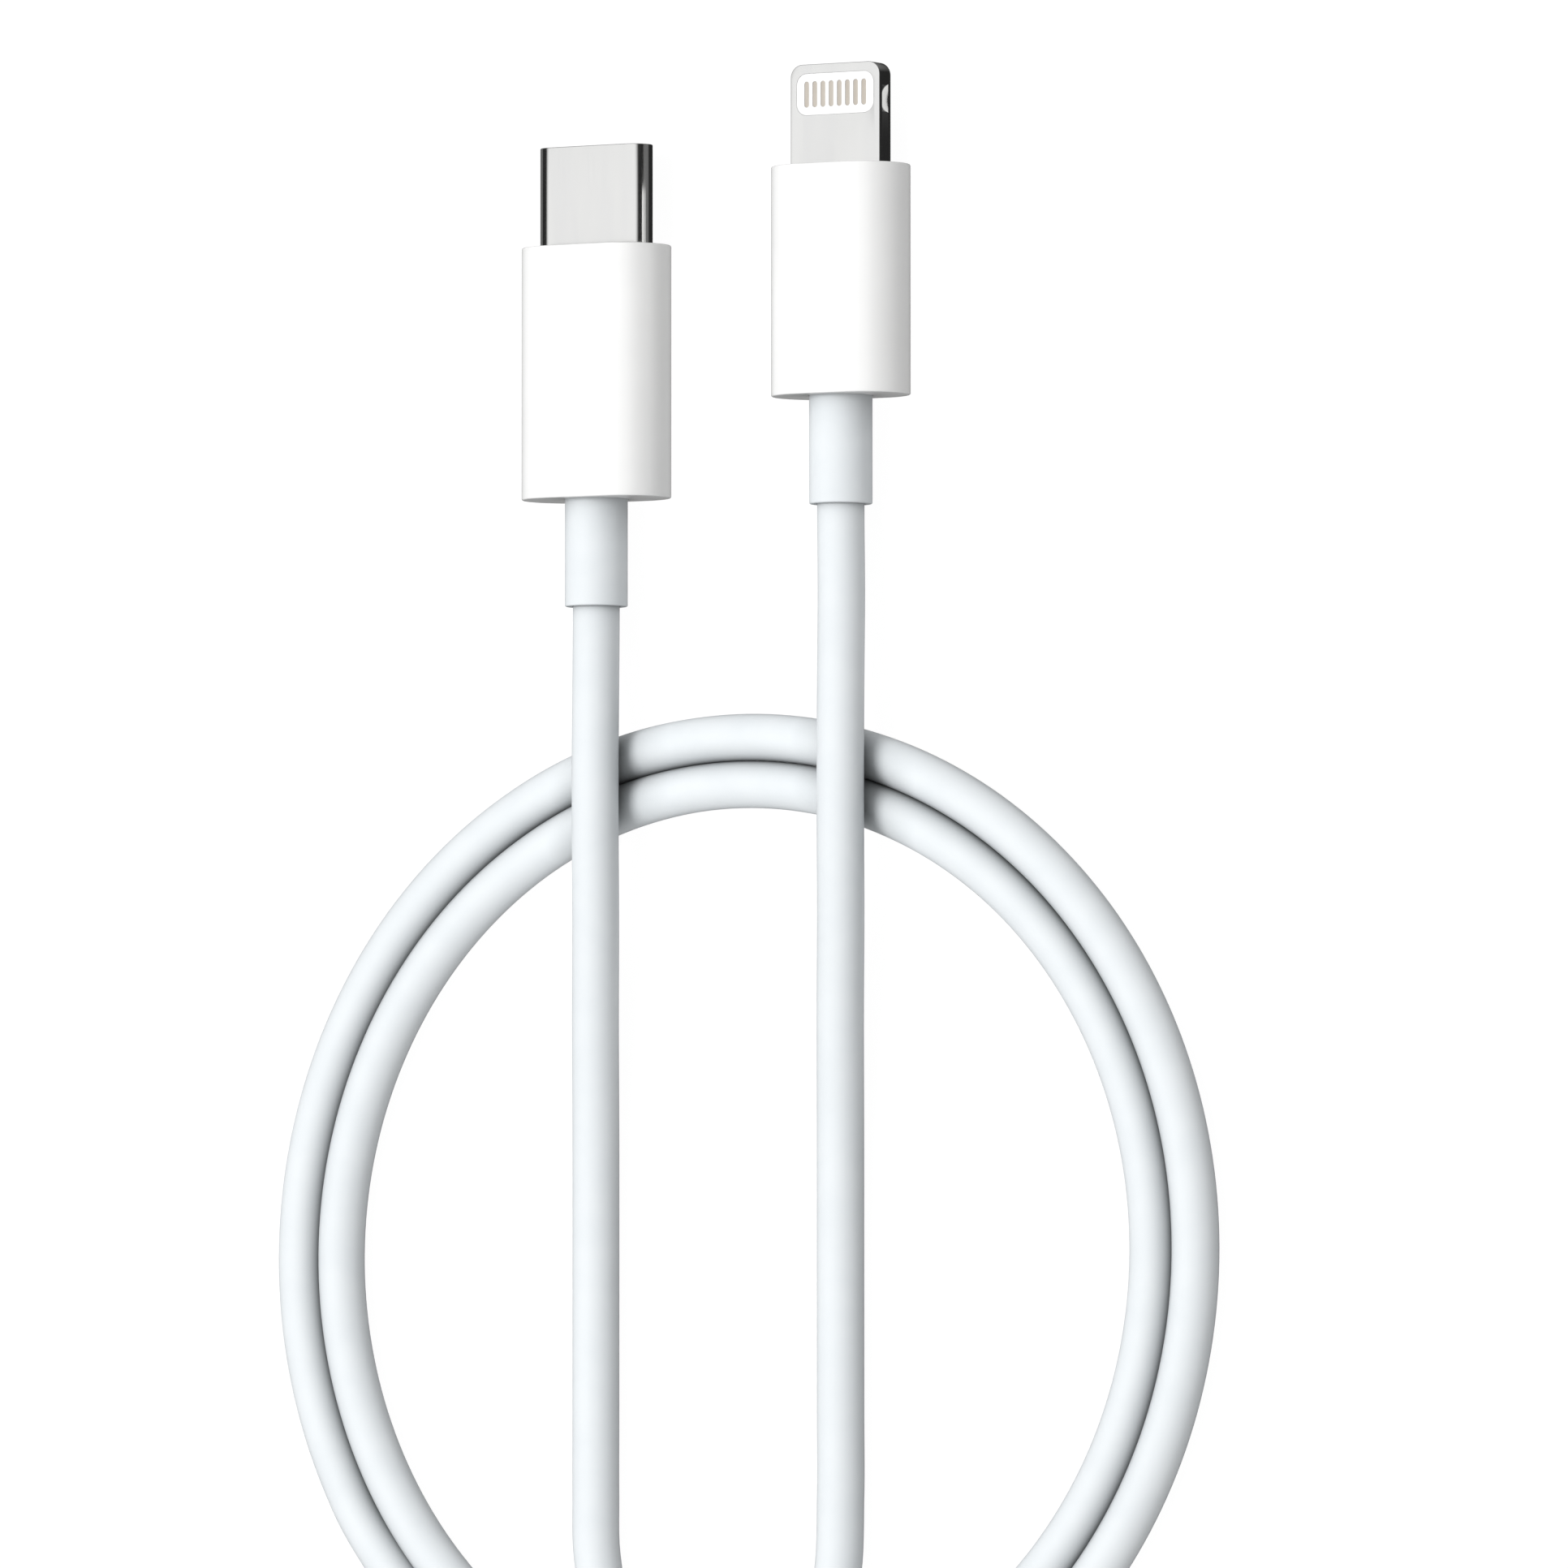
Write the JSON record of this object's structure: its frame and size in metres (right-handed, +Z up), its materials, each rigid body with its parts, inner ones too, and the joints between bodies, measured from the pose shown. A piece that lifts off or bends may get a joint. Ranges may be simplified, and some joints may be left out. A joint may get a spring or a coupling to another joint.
{
  "type": "charging cable",
  "caption": "Thin round charging cable laid in a flat ring, with a Type-C plug and an eight-contact reversible plug, both in plain white housings.",
  "frame": {"origin": "centre of the flat underside of the Type-C plug's housing", "axes": "+Y the way both plugs point, +Z up from the surface the cable lies on, +X towards the eight-contact plug"},
  "size_m": [0.0709, 0.1132, 0.0061],
  "materials": {
    "soft_jacket": "satin thermoplastic elastomer",
    "gloss_shell": "polished hard plastic",
    "steel": "polished",
    "tinned_sheet": "satin",
    "gold_contact": "satin plating",
    "black_plastic": "matte",
    "circuit_board": "solder mask",
    "grey_mould": "matte",
    "red_wire": "satin",
    "black_wire": "satin",
    "green_wire": "satin"
  },
  "bodies": {
    "cable": {"type_c_housing": "gloss_shell", "type_c_front_cover": "gloss_shell", "type_c_shell": "steel", "type_c_contact_carrier": "black_plastic", "type_c_upper_contacts": "gold_contact", "type_c_lower_contacts": "gold_contact", "type_c_circuit_board": "circuit_board", "type_c_control_chip": "black_plastic", "type_c_shield_can": "tinned_sheet", "type_c_inner_mould": "grey_mould", "type_c_crimp_ring": "tinned_sheet", "type_c_strain_relief": "soft_jacket", "type_c_power_wire": "red_wire", "type_c_ground_wire": "black_wire", "type_c_data_wires": "green_wire", "eight_pin_housing": "gloss_shell", "eight_pin_front_cover": "gloss_shell", "eight_pin_tab": "steel", "eight_pin_contact_block": "gloss_shell", "eight_pin_upper_contacts": "gold_contact", "eight_pin_lower_contacts": "gold_contact", "eight_pin_circuit_board": "circuit_board", "eight_pin_control_chip": "black_plastic", "eight_pin_shield_can": "tinned_sheet", "eight_pin_inner_mould": "grey_mould", "eight_pin_crimp_ring": "tinned_sheet", "eight_pin_strain_relief": "soft_jacket", "eight_pin_power_wire": "red_wire", "eight_pin_ground_wire": "black_wire", "eight_pin_data_wires": "green_wire", "cord_type_c_run": "soft_jacket", "cord_coil": "soft_jacket", "cord_eight_pin_run": "soft_jacket"},
    "left_latch": {"type_c_left_latch": "steel"},
    "right_latch": {"type_c_right_latch": "steel"}
  },
  "joints": [
    {"name": "left_latch_spring", "type": "hinge", "parent": "cable", "child": "left_latch", "pos_m": [-0.0034, 0.0068, 0.00305], "axis": [0, 0, 1], "range_deg": [0, 1.2], "stiffness_Nm_per_rad": 0.5},
    {"name": "right_latch_spring", "type": "hinge", "parent": "cable", "child": "right_latch", "pos_m": [0.0034, 0.0068, 0.00305], "axis": [0, 0, -1], "range_deg": [0, 1.2], "stiffness_Nm_per_rad": 0.5}
  ]
}
